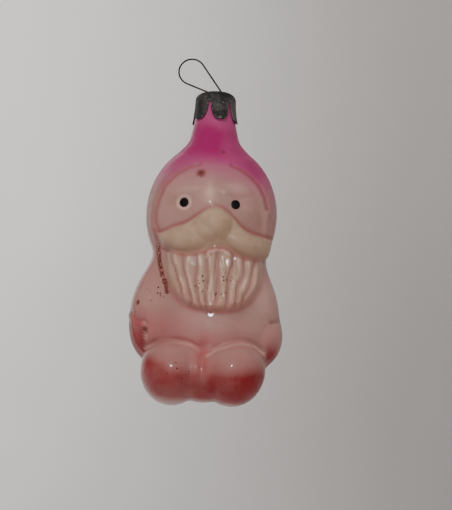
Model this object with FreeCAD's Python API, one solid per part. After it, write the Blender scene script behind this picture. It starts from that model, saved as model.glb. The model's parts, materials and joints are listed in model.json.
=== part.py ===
"""Blown-glass Christmas ornament: a seated, bearded gnome with a petal cap and a sprung wire hanger.

The pieces are the hollow glass figure, its two enamel eye dots, the six-petal tinplate cap and the hanger wire,
whose loop stands over the cap and whose two legs spread inside the glass neck.

Work frame: Z up, Z = 0 at the lowest point of the knees, the neck's axis on X = Y = 0, the face towards -Y.
The parts are moved at the end so that the origin is the point of the hanger's loop that rests on a hook.
"""

import FreeCAD, Part
import math
import os

Vec = FreeCAD.Vector
UP = Vec(0, 0, 1)

# Glass figure
RIM_Z = 78.8          # cut end of the neck
WALL = 0.7            # glass thickness
NECK_R = 4.85         # outside radius at the rim
NECK_FLARE = 0.0125   # the neck widens with the square of the depth below the rim
NECK_FLARE_END = 14.0
FAN_Z = 9.0           # below this height the skin is described by rays that fan out from one point
BOTTOM_SPOT_R = 1.2   # small flat left at the lowest point of the fan
COLUMNS = 96
RAY_START = 27.0      # rays are walked inwards from this far out
RAY_STRIDE = 0.8      # share of the estimated distance taken at each step
RAY_STEPS = 60
RAY_CLOSE = 1e-4
NOSE_BLEND = 0.6      # the nose rounds into the moustache over this much height
BALANCE_Y = 0.37      # the body stands this far behind the neck's axis, so that it hangs plumb

# Eye dots
EYES = {"eye_dot_left": (-6.8, 49.6), "eye_dot_right": (5.9, 49.4)}
EYE_R = 1.15
EYE_PROUD = 0.18
FACE_REACH = 11.6     # the face stands about this far in front of the neck's axis

# Cap
SHEET = 0.3           # tinplate thickness
CAP_GAP = 0.08        # between the neck and the cap
CAP_TOP_Z = 80.0
SHOULDER_R = 1.5      # bend between the top plate and the skirt
PETALS = 6
PETAL_TURN = -76.5    # direction of the first petal, degrees from +X
PETAL_TIP_Z = 72.4
SLIT_TOP_Z = 77.2
SLIT_TOP_R = 0.32
PETAL_TIP_R = 1.75

# Hanger wire
WIRE_R = 0.225
HOLE_X = 1.6
HOLE_R = 0.31
LOOP_R = 3.4
RIGHT_LEAN = 35.0     # shanks of the loop, degrees from upright, towards -X
LEFT_LEAN = 69.0
SHANK_Z = 80.55       # height at which the shanks bend over
LEG_SPREAD = 3.8
LEG_KNEE_Z = 78.6
LEG_SPREAD_Z = 67.4
LEG_END = (3.2, 66.0)


def smooth_max(a, b, blend):
    """The larger of two numbers, rounded over where they are closer than blend."""
    near = max(blend - abs(a - b), 0.0) / blend
    return max(a, b) + near * near * blend / 4.0


def smooth_step(low, high, value):
    t = min(max((value - low) / (high - low), 0.0), 1.0)
    return t * t * (3.0 - 2.0 * t)


# The rounded masses of the figure: centre, semi-axes, lean about Y in degrees, and the radius they blend in with.
MASSES = (
    ((-0.1, 0.2, 48.5), (16.7, 13.4, 18.8), 2.0, 2.4),      # hooded head
    ((0.4, 0.4, 23.7), (15.6, 12.4, 20.4), 0.0, 4.9),       # trunk
    ((-0.4, 1.5, 11.0), (14.2, 11.2, 9.0), 0.0, 2.0),       # seat
    ((-0.8, -4.2, 8.6), (8.5, 9.0, 7.5), 0.0, 1.5),         # lap between the knees
    ((-12.7, 0.8, 24.5), (7.0, 7.8, 13.2), 11.8, 3.8),      # left sleeve
    ((-14.3, 0.4, 18.7), (4.7, 6.8, 6.5), 0.0, 0.7),        # left mitten
    ((10.1, 0.8, 23.4), (7.4, 7.8, 13.6), -12.8, 3.6),      # right sleeve
    ((13.7, 0.4, 18.0), (5.1, 6.8, 7.2), 0.0, 0.8),         # right mitten
    ((-8.6, -4.4, 8.4), (7.6, 10.2, 8.2), 0.0, 0.9),        # left knee
    ((6.3, -4.4, 8.9), (8.0, 10.2, 8.6), 0.0, 0.9),         # right knee
)


def off_ellipsoid(x, y, z, centre, semi, lean):
    """About how far a point is outside an ellipsoid that leans about Y."""
    c, s = math.cos(math.radians(lean)), math.sin(math.radians(lean))
    dx, dy, dz = x - centre[0], y - centre[1] - BALANCE_Y, z - centre[2]
    u, v, w = (dx * c - dz * s) / semi[0], dy / semi[1], (dx * s + dz * c) / semi[2]
    scale = math.sqrt(u * u + v * v + w * w)
    slope = math.sqrt((u / semi[0]) ** 2 + (v / semi[1]) ** 2 + (w / semi[2]) ** 2)
    return scale * (scale - 1.0) / max(slope, 1e-6)


def neck_radius(z):
    """Outside radius of the neck, which flares towards the head."""
    return NECK_R + NECK_FLARE * min(RIM_Z - z, NECK_FLARE_END) ** 2


def off_neck(x, y, z):
    """How far a point is outside the neck, which ends inside the head."""
    slope = 2.0 * NECK_FLARE * min(RIM_Z - z, NECK_FLARE_END)
    off = (math.hypot(x, y) - neck_radius(z)) / math.hypot(1.0, slope)
    return off + max(RIM_Z - NECK_FLARE_END - 4.0 - z, 0.0)


def pad(x, z, centre, semi, height, turn=0.0, edge=0.5):
    """Height of a rounded pad with an elliptical outline. A small edge power makes its sides steep."""
    c, s = math.cos(math.radians(turn)), math.sin(math.radians(turn))
    dx, dz = x - centre[0], z - centre[1]
    u, w = (dx * c + dz * s) / semi[0], (dz * c - dx * s) / semi[1]
    inside = 1.0 - u * u - w * w
    return height * inside ** edge if inside > 0.0 else 0.0


def beard(x, z):
    """Height of the bib-shaped beard that starts under the moustache."""
    drop = max(36.0 - z, 0.0) / 13.2
    rise = max(z - 36.0, 0.0) / 5.0
    inside = 1.0 - (abs(x - 1.3) / 11.9) ** 2.3 - drop ** 2.3 - rise ** 2.3
    return 1.5 * inside ** 0.5 if inside > 0.0 else 0.0


def relief(x, y, z):
    """How far the face, moustache and beard stand out of the masses. Only the front has any."""
    front = smooth_step(1.0, 6.0, -y)
    if front == 0.0:
        return 0.0
    opening = 1.0 - math.hypot((x + 0.1) / 14.0, (z - 46.8) / 12.6)
    face = -0.9 * smooth_step(0.0, 0.1, opening) * smooth_step(38.0, 42.0, z)
    raised = max(
        beard(x, z),
        pad(x, z, (-6.8, 40.2), (7.2, 4.2), 2.1, turn=2.0),
        pad(x, z, (8.4, 39.9), (7.0, 4.3), 2.1, turn=-20.0),
    )
    nose = pad(x, z, (0.6, 44.2), (4.8, 5.2), 2.9, edge=0.8)
    raised = smooth_max(raised, nose, NOSE_BLEND) - NOSE_BLEND / 4.0
    brows = sum(pad(x, z, (side * 5.8 - 0.2, 52.8), (4.4, 1.9), 0.5, edge=1.0) for side in (-1, 1))
    return (face + raised + brows) * front


def off_figure(x, y, z):
    """About how far a point is outside the figure; less than zero inside the glass and its cavity."""
    off = off_neck(x, y, z)
    for centre, semi, lean, blend in MASSES:
        off = -smooth_max(-off, -off_ellipsoid(x, y, z, centre, semi, lean), blend)
    return off - relief(x, y, z)


def skin_point(angle, height, dip, depth=0.0):
    """Where a ray from the axis leaves the figure, or the skin that lies depth inside it.

    The ray starts on the axis at height and dips below the horizon. It is walked from far outside inwards.
    """
    along = (math.cos(angle) * math.cos(dip), math.sin(angle) * math.cos(dip), -math.sin(dip))
    reach = RAY_START
    for _ in range(RAY_STEPS):
        off = off_figure(along[0] * reach, along[1] * reach, height + along[2] * reach) + depth
        reach -= RAY_STRIDE * off
        if abs(off) < RAY_CLOSE:
            break
    return Vec(along[0] * reach, along[1] * reach, height + along[2] * reach)


def spread(start, end, count):
    """count values from start up to, and without, end."""
    return [start + (end - start) * i / count for i in range(count)]


def skin_rows(depth):
    """Rings of points down the figure, from the rim of the neck to the flat spot at the bottom."""
    heights = spread(RIM_Z, 67.0, 8) + spread(67.0, 56.0, 11) + spread(56.0, FAN_Z, 38)
    rings = [(height, 0.0) for height in heights]
    rings += [(FAN_Z, math.radians(dip)) for dip in spread(0.0, 84.0, 13)]
    angles = [math.radians(90.0 + 360.0 * i / COLUMNS) for i in range(COLUMNS)]
    rows = [[skin_point(angle, height, dip, depth) for angle in angles] for height, dip in rings]
    lowest = skin_point(0.0, FAN_Z, math.radians(90.0), depth).z
    rows.append([Vec(math.cos(a) * BOTTOM_SPOT_R, math.sin(a) * BOTTOM_SPOT_R, lowest) for a in angles])
    return rows


def skin_face(rows):
    """A cubic surface, closed round the figure, whose poles are the rings."""
    across = list(range(len(rows) - 2))
    ends = [4] + [1] * (len(across) - 2) + [4]
    surface = Part.BSplineSurface()
    surface.buildFromPolesMultsKnots(
        rows, ends, [1] * (COLUMNS + 1), across, list(range(COLUMNS + 1)), False, True, 3, 3)
    return surface.toShape()


def flat_edge(face, top):
    """The highest or the lowest closed edge of a skin, which lies in a level plane."""
    level = [e for e in face.Edges if e.isClosed() and e.BoundBox.ZLength < 1e-4]
    return (max if top else min)(level, key=lambda e: e.BoundBox.ZMax)


def closed_solid(faces):
    """One solid from faces that meet edge to edge, all turned to face outwards."""
    solid = Part.Solid(Part.makeShell(faces))
    solid.fix(1e-4, 1e-4, 1e-3)
    return solid


def make_glass():
    """The hollow glass figure, and the same figure filled in."""
    outer, inner = skin_face(skin_rows(0.0)), skin_face(skin_rows(WALL))
    rim = Part.Face([Part.Wire(flat_edge(outer, True)), Part.Wire(flat_edge(inner, True))])
    spots = [Part.Face(Part.Wire(flat_edge(face, False))) for face in (outer, inner)]
    hollow = closed_solid([outer, inner, rim] + spots)
    filled = closed_solid([outer, Part.Face(Part.Wire(flat_edge(outer, True))), spots[0]])
    return hollow, filled


def make_eye(x, z, figure):
    """A drop of enamel, lens-shaped, that sits on the glass."""
    ray = Vec(x, -FACE_REACH, 0).normalize()
    on_skin = skin_point(math.atan2(ray.y, ray.x), z, 0.0)
    lens = Part.makeSphere(EYE_R)
    flatten = FreeCAD.Matrix()
    flatten.scale(1.0, 0.45, 1.08)
    lens = lens.transformGeometry(flatten)
    lens.rotate(Vec(0, 0, 0), UP, math.degrees(math.atan2(ray.y, ray.x)) + 90.0)
    lens.translate(on_skin + ray * (EYE_PROUD - EYE_R * 0.45))
    return lens.cut(figure).Solids[0]


def cap_side(offset, top):
    """Edges of one side of the sheet: up beside the neck, round the shoulder and in to the axis."""
    bend = SHOULDER_R - (CAP_GAP + SHEET - offset)
    bend_z = CAP_TOP_Z - SHOULDER_R
    levels = spread(PETAL_TIP_Z, bend_z, 6) + [bend_z]
    skirt = Part.BSplineCurve()
    skirt.interpolate([Vec(neck_radius(z) + offset, 0, z) for z in levels])
    centre = Vec(neck_radius(bend_z) + offset - bend, 0, bend_z)
    middle = centre + Vec(bend * math.cos(math.pi / 4), 0, bend * math.sin(math.pi / 4))
    shoulder = Part.Arc(skirt.EndPoint, middle, centre + UP * bend)
    plate = Part.LineSegment(centre + UP * bend, Vec(0, 0, top))
    return [skirt.toShape(), shoulder.toShape(), plate.toShape()], skirt.StartPoint


def cap_shell():
    """The cap before its slits are cut: a turned sheet that follows the neck."""
    outside, outer_tip = cap_side(CAP_GAP + SHEET, CAP_TOP_Z)
    inside, inner_tip = cap_side(CAP_GAP, CAP_TOP_Z - SHEET)
    tip = Part.LineSegment(inner_tip, outer_tip).toShape()
    axis = Part.LineSegment(Vec(0, 0, CAP_TOP_Z - SHEET), Vec(0, 0, CAP_TOP_Z)).toShape()
    wire = Part.Wire(Part.__sortEdges__(outside + inside + [tip, axis]))
    return Part.Face(wire).revolve(Vec(0, 0, 0), UP, 360)


def slit_cutter():
    """What is cut away between two petals: a narrow slit that opens into the round ends of both petals."""
    pitch = 2.0 * math.pi * neck_radius(PETAL_TIP_Z) / PETALS
    tip_x = pitch / 2.0
    start = Vec(0, SLIT_TOP_R, SLIT_TOP_Z - SLIT_TOP_R)
    apex = Vec(0, 0, SLIT_TOP_Z)
    shoulder = Vec(0, 1.15, PETAL_TIP_Z + PETAL_TIP_R)
    round_mid = Vec(0, tip_x - PETAL_TIP_R * 0.62, PETAL_TIP_Z + 0.22 * PETAL_TIP_R)
    tip = Vec(0, tip_x, PETAL_TIP_Z)
    foot = Vec(0, tip_x, PETAL_TIP_Z - 1.0)

    def mirrored(p):
        return Vec(0, -p.y, p.z)

    edges = [
        Part.Arc(mirrored(start), apex, start),
        Part.LineSegment(start, shoulder),
        Part.Arc(shoulder, round_mid, tip),
        Part.LineSegment(tip, foot),
        Part.LineSegment(foot, mirrored(foot)),
        Part.LineSegment(mirrored(foot), mirrored(tip)),
        Part.Arc(mirrored(tip), mirrored(round_mid), mirrored(shoulder)),
        Part.LineSegment(mirrored(shoulder), mirrored(start)),
    ]
    outline = Part.Wire([edge.toShape() for edge in edges])
    cutter = Part.Face(outline).extrude(Vec(8, 0, 0))
    cutter.translate(Vec(2.5, 0, 0))
    return cutter


def make_cap():
    """The tinplate cap: top plate with two wire holes, and six petals bent down round the neck."""
    cap = cap_shell()
    for i in range(PETALS):
        cutter = slit_cutter()
        cutter.rotate(Vec(0, 0, 0), UP, PETAL_TURN + 360.0 * (i + 0.5) / PETALS)
        cap = cap.cut(cutter)
    for side in (-1, 1):
        hole = Part.makeCylinder(HOLE_R, 2.0, Vec(side * HOLE_X, 0, CAP_TOP_Z - 1.0))
        cap = cap.cut(hole)
    return cap.Solids[0]


def loop_centre():
    """Centre of the round end of the loop, which both leaning shanks touch."""
    right, left = math.radians(RIGHT_LEAN), math.radians(LEFT_LEAN)
    across_r = Vec(-math.cos(right), 0, -math.sin(right))
    across_l = Vec(math.cos(left), 0, math.sin(left))
    reach_r = LOOP_R + across_r.dot(Vec(HOLE_X, 0, SHANK_Z))
    reach_l = LOOP_R + across_l.dot(Vec(-HOLE_X, 0, SHANK_Z))
    det = across_r.x * across_l.z - across_r.z * across_l.x
    x = (reach_r * across_l.z - across_r.z * reach_l) / det
    z = (across_r.x * reach_l - reach_r * across_l.x) / det
    return Vec(x, 0, z), across_r, across_l


def rounded_path(points, radii):
    """Straight runs through the points, joined by arcs of the given radii at the inner points."""
    edges = []
    start = points[0]
    for before, corner, after, radius in zip(points, points[1:], points[2:], radii):
        back, on = (before - corner).normalize(), (after - corner).normalize()
        half = math.acos(max(-1.0, min(1.0, back.dot(on)))) / 2.0
        cut = radius / math.tan(half)
        bisector = (back + on).normalize()
        middle = corner + bisector * (radius / math.sin(half) - radius)
        edges.append(Part.LineSegment(start, corner + back * cut).toShape())
        edges.append(Part.Arc(corner + back * cut, middle, corner + on * cut).toShape())
        start = corner + on * cut
    edges.append(Part.LineSegment(start, points[-1]).toShape())
    return edges


def make_hanger():
    """One spring wire: a leg in the neck, up through the cap, round the loop, and down to the other leg."""
    centre, across_r, across_l = loop_centre()
    touch_r, touch_l = centre - across_r * LOOP_R, centre - across_l * LOOP_R
    far = (centre - (touch_r + touch_l) * 0.5).normalize()
    loop = Part.Arc(touch_r, centre + far * LOOP_R, touch_l).toShape()

    def leg(side, touch):
        end = Vec(side * LEG_END[0], 0, LEG_END[1])
        points = [end, Vec(side * LEG_SPREAD, 0, LEG_SPREAD_Z), Vec(side * HOLE_X, 0, LEG_KNEE_Z),
                  Vec(side * HOLE_X, 0, SHANK_Z), touch]
        return rounded_path(points, (0.8, 2.0, 0.5))

    path = Part.Wire(Part.__sortEdges__(leg(1, touch_r) + [loop] + leg(-1, touch_l)))
    first = path.Edges[0]
    at = first.valueAt(first.FirstParameter)
    along = first.tangentAt(first.FirstParameter)
    section = Part.Wire(Part.makeCircle(WIRE_R, at, along))
    return path.makePipeShell([section], True, False), centre


def main():
    os.makedirs("parts", exist_ok=True)
    glass, figure = make_glass()
    hanger, loop = make_hanger()
    parts = {
        "glass_body": glass,
        "cap": make_cap(),
        "hanger_wire": hanger,
    }
    for name, (x, z) in EYES.items():
        parts[name] = make_eye(x, z, figure)
    hang_point = loop + UP * (LOOP_R - WIRE_R)
    for name, shape in parts.items():
        shape.translate(-hang_point)
        shape.exportStep(f"parts/{name}.step")
        box = shape.BoundBox
        print(f"{name}: valid {shape.isValid()}, solids {len(shape.Solids)}, {shape.Volume:.2f} mm3,"
              f" X {box.XMin:.2f} {box.XMax:.2f}, Y {box.YMin:.2f} {box.YMax:.2f}, Z {box.ZMin:.2f} {box.ZMax:.2f}")
    heavy = parts["glass_body"].CenterOfMass + hang_point
    print(f"hang point in the work frame {hang_point}; glass balances at {heavy}")


main()
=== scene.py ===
"""Looks of a blown-glass gnome ornament: lacquered figure, enamel eyes, tarnished petal cap and sprung wire.

The figure is a field of blended masses with a modelled relief. Rays from its axis find the skin, and the
same measures that shape the relief also place the airbrushed colours and the painted shade and
highlights. The figure, eyes and cap are in millimetres in the figure's own frame: Z up from the lowest
point of the knees, the neck's axis on X = Y = 0, the face towards -Y, and left and right as the viewer
sees them. The stage, lamps and camera are in metres.
"""

import json
import math

import bpy
import numpy as np
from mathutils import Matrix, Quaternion, Vector
from mathutils.geometry import delaunay_2d_cdt


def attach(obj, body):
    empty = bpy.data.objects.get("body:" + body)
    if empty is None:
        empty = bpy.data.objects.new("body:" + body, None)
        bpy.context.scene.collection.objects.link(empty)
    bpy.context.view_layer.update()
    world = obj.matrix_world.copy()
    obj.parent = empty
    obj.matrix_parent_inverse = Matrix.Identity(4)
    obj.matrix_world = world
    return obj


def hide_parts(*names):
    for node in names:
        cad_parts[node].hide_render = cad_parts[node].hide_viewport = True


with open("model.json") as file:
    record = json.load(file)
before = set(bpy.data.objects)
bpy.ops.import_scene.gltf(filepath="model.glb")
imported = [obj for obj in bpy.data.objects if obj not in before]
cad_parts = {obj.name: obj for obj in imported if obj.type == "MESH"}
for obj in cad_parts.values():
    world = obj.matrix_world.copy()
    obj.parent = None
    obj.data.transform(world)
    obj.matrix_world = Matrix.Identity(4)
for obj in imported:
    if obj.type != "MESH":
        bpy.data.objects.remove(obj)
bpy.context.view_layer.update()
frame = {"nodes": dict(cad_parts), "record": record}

# Places of the row frame
HINGE = Vector(frame["record"]["behaviour"]["joints"][0]["pos_m"])
HINGE_Z = 79.85                 # height of the hinge in the figure's frame
MM = 0.001

# Figure
RIM_Z = 78.8
WALL = 0.7
NECK_R = 4.85
NECK_FLARE = 0.0125
NECK_FLARE_END = 14.0
NECK_FOOT_Z = 60.8              # below this the neck's own surface ends inside the head
BALANCE_Y = 0.37                # how far back the masses are moved, so that the figure hangs upright
FAN_Z = 9.0                     # level rays find the skin above this height, and a fan of rays below it
OUTER_GRID = (236, 62, 300)     # rings above the fan, rings in the fan, points round each ring
INNER_GRID = (60, 16, 60)
FRONT_CROWDING = 0.35           # how much closer together the columns are at the face than at the back
RAY_START = 27.0
RAY_STEPS = 44
RAY_STRIDE = 0.75

# Search for the front of the skin, from a plane in front of it
FRONT_START = -24.0
FRONT_STEPS = 60
FRONT_STRIDE = 0.7

# Eyes
EYES = ((-6.8, 49.6), (5.9, 49.4))
EYE_R = 1.15
EYE_TALLER = 1.08
EYE_HEIGHT = 0.22
EYE_EDGE_SUNK = 0.03
EYE_BACK_SUNK = 0.12
EYE_RINGS = 8
EYE_SPOKES = 28

# Cap
SHEET = 0.3
CAP_GAP = 0.08
CAP_TOP_Z = 80.0
SHOULDER_R = 1.5
PETALS = 6
PETAL_TURN = -76.5
PETAL_TIP_Z = 72.4
SLIT_TOP_Z = 77.2
SLIT_HALF = 0.3
PETAL_UNEVEN = 0.35             # how much longer or shorter single petals are
PETAL_SQUARENESS = 3.4
PETAL_WAIST = 0.10
PETAL_POINTS = 41
PETAL_OUT = 0.15                # how far each millimetre of a longer petal leads outwards
PETAL_DOWN = 0.95               # and how far it leads down
SIDE_POINTS = 24
BEND_POINTS = 10
INNER_SHARE = 0.9               # share of the sheet's thickness that is drawn
HOLE_X = 1.6
HOLE_R = 0.31
HOLE_POINTS = 16
HOLE_CLEAR = 0.92               # share of a hole's radius that its ring of points leaves clear
HOLE_MARGIN = 0.15
EDGE_MARGIN = 0.16
LATTICE_STEP = 0.42             # spacing of the points that fill the flat sheet
LATTICE_RISE = 0.866            # height of an even triangle over its side
LATTICE_HALF = 40

# Opening of the hood round the face
OPENING_X = -0.05
OPENING_Z = 47.4                # below this its sides run straight down
OPENING_HALF = 13.9
OPENING_RISE = 12.5

# Beard
BEARD_X = 1.3
BEARD_Z = 36.0                  # height of its widest place
BEARD_HALF = 12.1
BEARD_DROP = 13.4
BEARD_RISE = 5.0
BEARD_SQUARENESS = 2.5

# Stage, lamps and camera, in metres from the figure's middle where a place is given
FLOOR_Z = -70.0                 # millimetres in the figure's frame
STAGE_HALF = 1.2
WALL_Y = 0.55
WALL_BEND = 0.20
WALL_TOP = 1.0
MIDDLE_Z = 40.0                 # millimetres
AIM_Z = 42.0                    # millimetres
WHITE = (1.0, 1.0, 1.0)
KEY = ((-0.22, -0.46, 0.50), 0.22, 3.7, (1.0, 0.98, 0.96))      # place, width, power and colour
FILL = ((0.36, -0.45, 0.0), 0.4, 1.5, WHITE)
SPARK = ((0.01, -0.40, -0.01), 0.04, 1.0, WHITE)
SKY = (0.74, 0.73, 0.73, 1.0)
SKY_STRENGTH = 0.38
CAMERA_TARGET = (3.93, 0.0, 38.4)       # millimetres
CAMERA_DISTANCE = 0.300
CAMERA_RISE = 8.0               # degrees it looks up
CAMERA_ROLL = 1.85
CAMERA_LENS = 83.45

# Centre, semi-axes, lean about Y in degrees, and the radius each mass blends in with
MASSES = (
    ((-0.1, 0.2, 48.5), (16.7, 13.4, 18.8), 2.0, 2.4),      # hooded head
    ((0.4, 0.4, 23.7), (15.6, 12.4, 20.4), 0.0, 4.9),       # trunk
    ((-0.4, 1.5, 11.0), (14.2, 11.2, 9.0), 0.0, 2.0),       # seat
    ((-0.8, -4.2, 8.6), (8.5, 9.0, 7.5), 0.0, 1.5),         # lap between the knees
    ((-12.7, 0.8, 24.5), (7.0, 7.8, 13.2), 11.8, 3.8),      # left sleeve
    ((-14.3, 0.4, 18.7), (4.7, 6.8, 6.5), 0.0, 0.7),        # left mitten
    ((10.1, 0.8, 23.4), (7.4, 7.8, 13.6), -12.8, 3.6),      # right sleeve
    ((13.7, 0.4, 18.0), (5.1, 6.8, 7.2), 0.0, 0.8),         # right mitten
    ((-8.6, -4.4, 8.4), (7.6, 10.2, 8.2), 0.0, 0.9),        # left knee
    ((6.3, -4.4, 8.9), (8.0, 10.2, 8.6), 0.0, 0.9),         # right knee
)


# ---------------------------------------------------------------- field of the figure

def smooth_min(a, b, blend):
    near = np.maximum(blend - np.abs(a - b), 0.0) / blend
    return np.minimum(a, b) - near * near * blend / 4.0


def smooth_step(low, high, value):
    t = np.clip((value - low) / (high - low), 0.0, 1.0)
    return t * t * (3.0 - 2.0 * t)


def bump(value, width):
    """1 at zero, falling to nothing at about width on either side."""
    return np.exp(-(value / width) ** 2 * 2.0)


def off_ellipsoid(x, y, z, centre, semi, lean):
    c, s = math.cos(math.radians(lean)), math.sin(math.radians(lean))
    dx, dy, dz = x - centre[0], y - centre[1] - BALANCE_Y, z - centre[2]
    u, v, w = (dx * c - dz * s) / semi[0], dy / semi[1], (dx * s + dz * c) / semi[2]
    scale = np.sqrt(u * u + v * v + w * w)
    slope = np.sqrt((u / semi[0]) ** 2 + (v / semi[1]) ** 2 + (w / semi[2]) ** 2)
    return scale * (scale - 1.0) / np.maximum(slope, 1e-6)


def neck_radius(z):
    return NECK_R + NECK_FLARE * np.minimum(RIM_Z - z, NECK_FLARE_END) ** 2


def off_neck(x, y, z):
    slope = 2.0 * NECK_FLARE * np.minimum(RIM_Z - z, NECK_FLARE_END)
    off = (np.hypot(x, y) - neck_radius(z)) / np.hypot(1.0, slope)
    return off + np.maximum(NECK_FOOT_Z - z, 0.0)


def ellipse_depth(x, z, centre, semi, turn=0.0):
    """1 at the centre of an ellipse in the front plane, 0 on its outline, negative outside."""
    c, s = math.cos(math.radians(turn)), math.sin(math.radians(turn))
    dx, dz = x - centre[0], z - centre[1]
    return 1.0 - np.hypot((dx * c + dz * s) / semi[0], (dz * c - dx * s) / semi[1])


def pad(x, z, centre, semi, height, turn=0.0):
    """A domed pad with an elliptical outline."""
    inside = np.maximum(ellipse_depth(x, z, centre, semi, turn), 0.0)
    return height * (inside * (2.0 - inside))


def curve_height(x, points):
    """Height of a line drawn through a few points from left to right, with its corners rounded."""
    xs, zs = zip(*points)
    return sum(np.interp(x + shift, xs, zs) for shift in (-1.0, -0.5, 0.0, 0.5, 1.0)) / 5.0


def off_line(x, z, points):
    """Distance in the front plane from a line drawn through a few points."""
    nearest = np.full(np.shape(x + z), 99.0)
    for (ax, az), (bx, bz) in zip(points, points[1:]):
        dx, dz = bx - ax, bz - az
        t = np.clip(((x - ax) * dx + (z - az) * dz) / (dx * dx + dz * dz), 0.0, 1.0)
        nearest = np.minimum(nearest, np.hypot(x - ax - t * dx, z - az - t * dz))
    return nearest


# Lines of the relief, as points (x, z) of the front plane
MOUSTACHE_TOP = ((-15.0, 43.4), (-13.2, 42.5), (-11.9, 42.5), (-9.7, 43.5), (-6.0, 44.4), (-3.4, 46.2),
                 (-1.4, 47.9), (1.3, 48.7), (3.5, 47.9), (5.1, 46.4), (7.9, 43.5), (10.1, 42.5), (13.5, 42.2),
                 (17.0, 42.4))
MOUSTACHE_FOOT = ((-15.0, 40.4), (-12.0, 39.2), (-10.5, 38.5), (-8.2, 37.1), (-4.1, 36.8), (-1.0, 37.7),
                  (1.6, 38.6), (3.7, 38.7), (6.5, 37.0), (9.2, 36.2), (12.3, 36.5), (17.0, 37.6))
HOOD_EDGE_LEFT = ((-12.9, 42.6), (-13.8, 45.0), (-13.9, 47.5), (-13.3, 50.5), (-11.9, 54.0), (-9.3, 56.7),
                  (-6.0, 58.6), (-3.4, 59.5))
HOOD_EDGE_RIGHT = ((4.8, 59.4), (7.2, 58.5), (9.6, 56.9), (11.6, 54.9), (13.2, 52.2), (13.9, 49.2))
LIP_ARCH = ((-0.9, 35.9), (-0.3, 37.1), (1.4, 37.8), (3.4, 37.7), (4.9, 36.6))
LEFT_CUFF = ((-20.5, 24.4), (-18.9, 22.6), (-17.6, 20.9), (-15.6, 20.4))
RIGHT_CUFF = ((15.6, 21.0), (17.0, 21.5), (20.0, 22.6))
LEFT_PALM = ((-15.6, 20.4), (-15.2, 17.2), (-15.1, 13.8))
LEFT_KNEE_ARC = ((-15.1, 14.0), (-11.9, 14.7), (-8.2, 15.2), (-4.2, 14.8), (-1.9, 13.2))
RIGHT_KNEE_ARC = ((0.1, 12.1), (2.3, 13.5), (5.9, 14.8), (8.4, 15.3), (11.6, 14.9), (13.9, 13.3))
KNEE_GROOVE = ((-1.0, 13.4), (-1.1, 4.0))
FLAKE_STRIP = ((-13.1, 39.6), (-12.6, 35.5), (-11.6, 31.8), (-10.6, 29.8), (-10.2, 27.6))

# Across each ridge of the beard, at the height of the lip
BEARD_RIDGES = (-13.4, -10.6, -8.0, -5.2, -2.4, 0.3, 3.9, 7.2, 10.2, 12.7, 14.7)
SEAM_FORWARD = 3.3              # how far the mould's seam is in front of the widest section


def moustache_depth(x, z):
    """Distance inside the outline of the nose and moustache, in mm; negative outside."""
    top = (curve_height(x, MOUSTACHE_TOP) - z) * 0.82
    foot = (z - curve_height(x, MOUSTACHE_FOOT)) * 0.92
    left_end = (x + 13.7 - 0.5 * (42.7 - z)) * 0.88
    return np.minimum(np.minimum(top, foot), left_end)


def opening_depth(x, z):
    """Distance inside the arched edge of the hood, in mm; negative outside."""
    arch = 1.0 - np.hypot((x - OPENING_X) / OPENING_HALF, (z - OPENING_Z) / OPENING_RISE)
    straight = OPENING_HALF - np.abs(x - OPENING_X)
    return np.where(z > OPENING_Z, arch * (OPENING_HALF + OPENING_RISE) / 2.0, straight)


def beard_depth(x, z):
    """1 deep inside the beard, 0 on its outline."""
    across = np.abs((x - BEARD_X) / BEARD_HALF)
    drop = np.maximum(BEARD_Z - z, 0.0) / BEARD_DROP
    rise = np.maximum(z - BEARD_Z, 0.0) / BEARD_RISE
    power = BEARD_SQUARENESS
    return 1.0 - (across ** power + drop ** power + rise ** power) ** (1.0 / power)


def from_ridge(x, z):
    """Where a point lies between two ridges of the beard: 0 on a ridge, 0.5 and -0.5 in the grooves."""
    gather = 1.0 + 0.36 * (np.maximum(37.0 - z, 0.0) / 11.0) ** 1.6
    wave = 0.32 * np.sin(z * 0.55 + x * 0.7) + 0.10 * np.sin(z * 1.2 - x * 1.1)
    number = np.interp(BEARD_X + (x - BEARD_X) * gather + wave, BEARD_RIDGES, range(len(BEARD_RIDGES)))
    return number - np.round(number)


def off_hood_edge(x, z):
    """Distance in the front plane from the two stretches of the hood's edge."""
    return np.minimum(off_line(x, z, HOOD_EDGE_LEFT), off_line(x, z, HOOD_EDGE_RIGHT))


def face_relief(x, z):
    opening = opening_depth(x, z)
    above = smooth_step(36.0, 41.0, z)
    face = -0.55 * smooth_step(-0.2, 1.8, opening) * above
    edge = off_hood_edge(x, z)
    roll = 0.22 * bump(edge - 1.1, 1.5) * (opening < 0.0) - 0.38 * bump(edge, 0.75)
    brows = pad(x, z, (-5.7, 52.6), (4.8, 2.2), 0.55, 8.0) + pad(x, z, (5.6, 53.3), (4.8, 2.2), 0.55, -5.0)
    bridge = 0.5 * bump(x + 0.4, 2.4) * smooth_step(47.5, 50.0, z) * smooth_step(57.5, 53.0, z)
    sockets = sum(-0.35 * bump(np.hypot(x - ex, (z - ez) * 1.2), 3.6) for ex, ez in EYES)
    cheeks = sum(pad(x, z, (side * 8.8, 46.4), (4.4, 2.8), 0.4) for side in (-1, 1))
    halo = 0.12 * bump(np.hypot(x - EYES[0][0], z - EYES[0][1]) - 1.75, 0.6)
    return face + roll + (brows + bridge + sockets + cheeks + halo) * (opening > 0.0)


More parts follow.
